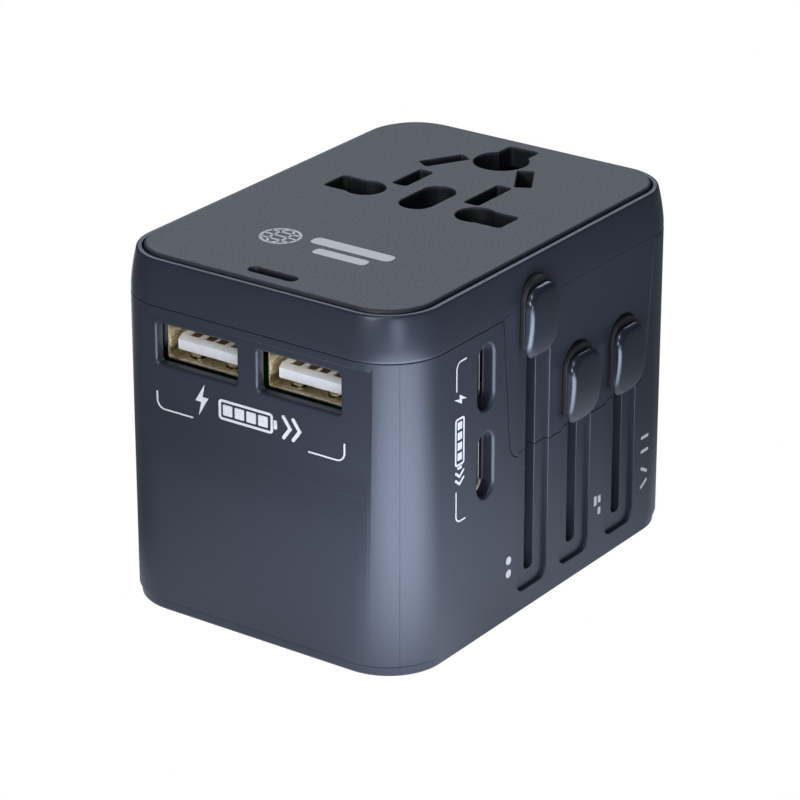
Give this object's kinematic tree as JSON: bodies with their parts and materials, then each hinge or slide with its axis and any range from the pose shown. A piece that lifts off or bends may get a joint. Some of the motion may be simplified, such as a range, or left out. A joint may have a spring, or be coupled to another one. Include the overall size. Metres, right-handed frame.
{
  "type": "universal travel adapter",
  "caption": "Pocket travel adapter: a universal socket on top, slide-out EU, UK and US/AU plugs that leave through the base, and USB-A and USB-C charging ports.",
  "frame": {"origin": "centre of the flat base face, where the plugs leave", "axes": "+Z from the base up to the socket face; +X out of the face with the three plug sliders; -Y out of the face with the USB-A ports"},
  "size_m": [0.0526, 0.0706, 0.0529],
  "materials": {
    "shell_plastic": "satin, faintly metallic moulded plastic",
    "knob_paint": "satin metallic lacquer",
    "panel_plastic": "fine spark-eroded texture",
    "black_plastic": "matt moulded plastic",
    "white_plastic": "smooth moulded plastic",
    "brass": "gold-coloured plated sheet",
    "nickel": "bright nickel plate",
    "steel": "zinc-plated",
    "circuit_board": "solder mask",
    "ferrite": "sintered, matt",
    "winding_tape": "polyester tape",
    "capacitor_sleeve": "shrink sleeve",
    "lens_plastic": "translucent diffusing plastic"
  },
  "bodies": {
    "housing": {"base_plate": "shell_plastic", "base_screw_1": "steel", "base_screw_2": "steel", "base_screw_3": "steel", "base_screw_4": "steel", "block_screw_1": "steel", "block_screw_2": "steel", "contact_block": "black_plastic", "earth_contact": "brass", "front_shell": "shell_plastic", "fuse": "white_plastic", "fuse_holder": "brass", "input_capacitor": "capacitor_sleeve", "led": "white_plastic", "led_window": "lens_plastic", "line_contact": "brass", "neutral_contact": "brass", "output_capacitor": "capacitor_sleeve", "power_board": "circuit_board", "rear_shell": "shell_plastic", "shutter_spring": "steel", "socket_panel": "panel_plastic", "top_shell": "shell_plastic", "transformer_core": "ferrite", "transformer_winding": "winding_tape", "usb_a_board": "circuit_board", "usb_a_contacts_left": "brass", "usb_a_contacts_right": "brass", "usb_a_shell_left": "brass", "usb_a_shell_right": "brass", "usb_a_tongue_left": "white_plastic", "usb_a_tongue_right": "white_plastic", "usb_c_board": "circuit_board", "usb_c_shell_lower": "nickel", "usb_c_shell_upper": "nickel", "usb_c_tongue_lower": "black_plastic", "usb_c_tongue_upper": "black_plastic"},
    "eu_plug": {"eu_carriage": "black_plastic", "eu_slider": "black_plastic", "eu_knob": "knob_paint", "eu_pin_left": "nickel", "eu_pin_right": "nickel", "eu_sleeve_left": "black_plastic", "eu_sleeve_right": "black_plastic"},
    "uk_plug": {"uk_carriage": "black_plastic", "uk_slider": "black_plastic", "uk_knob": "knob_paint", "uk_line_pin": "brass", "uk_neutral_pin": "brass", "uk_line_sleeve": "black_plastic", "uk_neutral_sleeve": "black_plastic", "uk_earth_pin": "brass"},
    "us_plug": {"us_carriage": "black_plastic", "us_slider": "black_plastic", "us_knob": "knob_paint"},
    "us_blade_twist_left": {"us_hub_left": "black_plastic", "us_blade_left": "nickel"},
    "us_blade_twist_right": {"us_hub_right": "black_plastic", "us_blade_right": "nickel"},
    "shutter": {"safety_shutter": "black_plastic"}
  },
  "joints": [
    {"name": "eu_slide", "type": "slide", "parent": "housing", "child": "eu_plug", "axis": [0, 0, -1], "range_m": [0, 0.0355]},
    {"name": "uk_slide", "type": "slide", "parent": "housing", "child": "uk_plug", "axis": [0, 0, -1], "range_m": [0, 0.0224]},
    {"name": "us_slide", "type": "slide", "parent": "housing", "child": "us_plug", "axis": [0, 0, -1], "range_m": [0, 0.0224]},
    {"name": "us_twist_left", "type": "hinge", "parent": "us_plug", "child": "us_blade_twist_left", "pos_m": [-0.00635, 0.0156, 0.0256], "axis": [0, 0, 1], "range_deg": [-30, 0]},
    {"name": "us_twist_right", "type": "hinge", "parent": "us_plug", "child": "us_blade_twist_right", "pos_m": [0.00635, 0.0156, 0.0256], "axis": [0, 0, 1], "range_deg": [0, 30]},
    {"name": "shutter_slide", "type": "slide", "parent": "housing", "child": "shutter", "axis": [0, -1, 0], "range_m": [0, 0.0058], "stiffness_N_per_m": 150, "springref_m": -0.004, "deforming": ["shutter_spring"]}
  ]
}
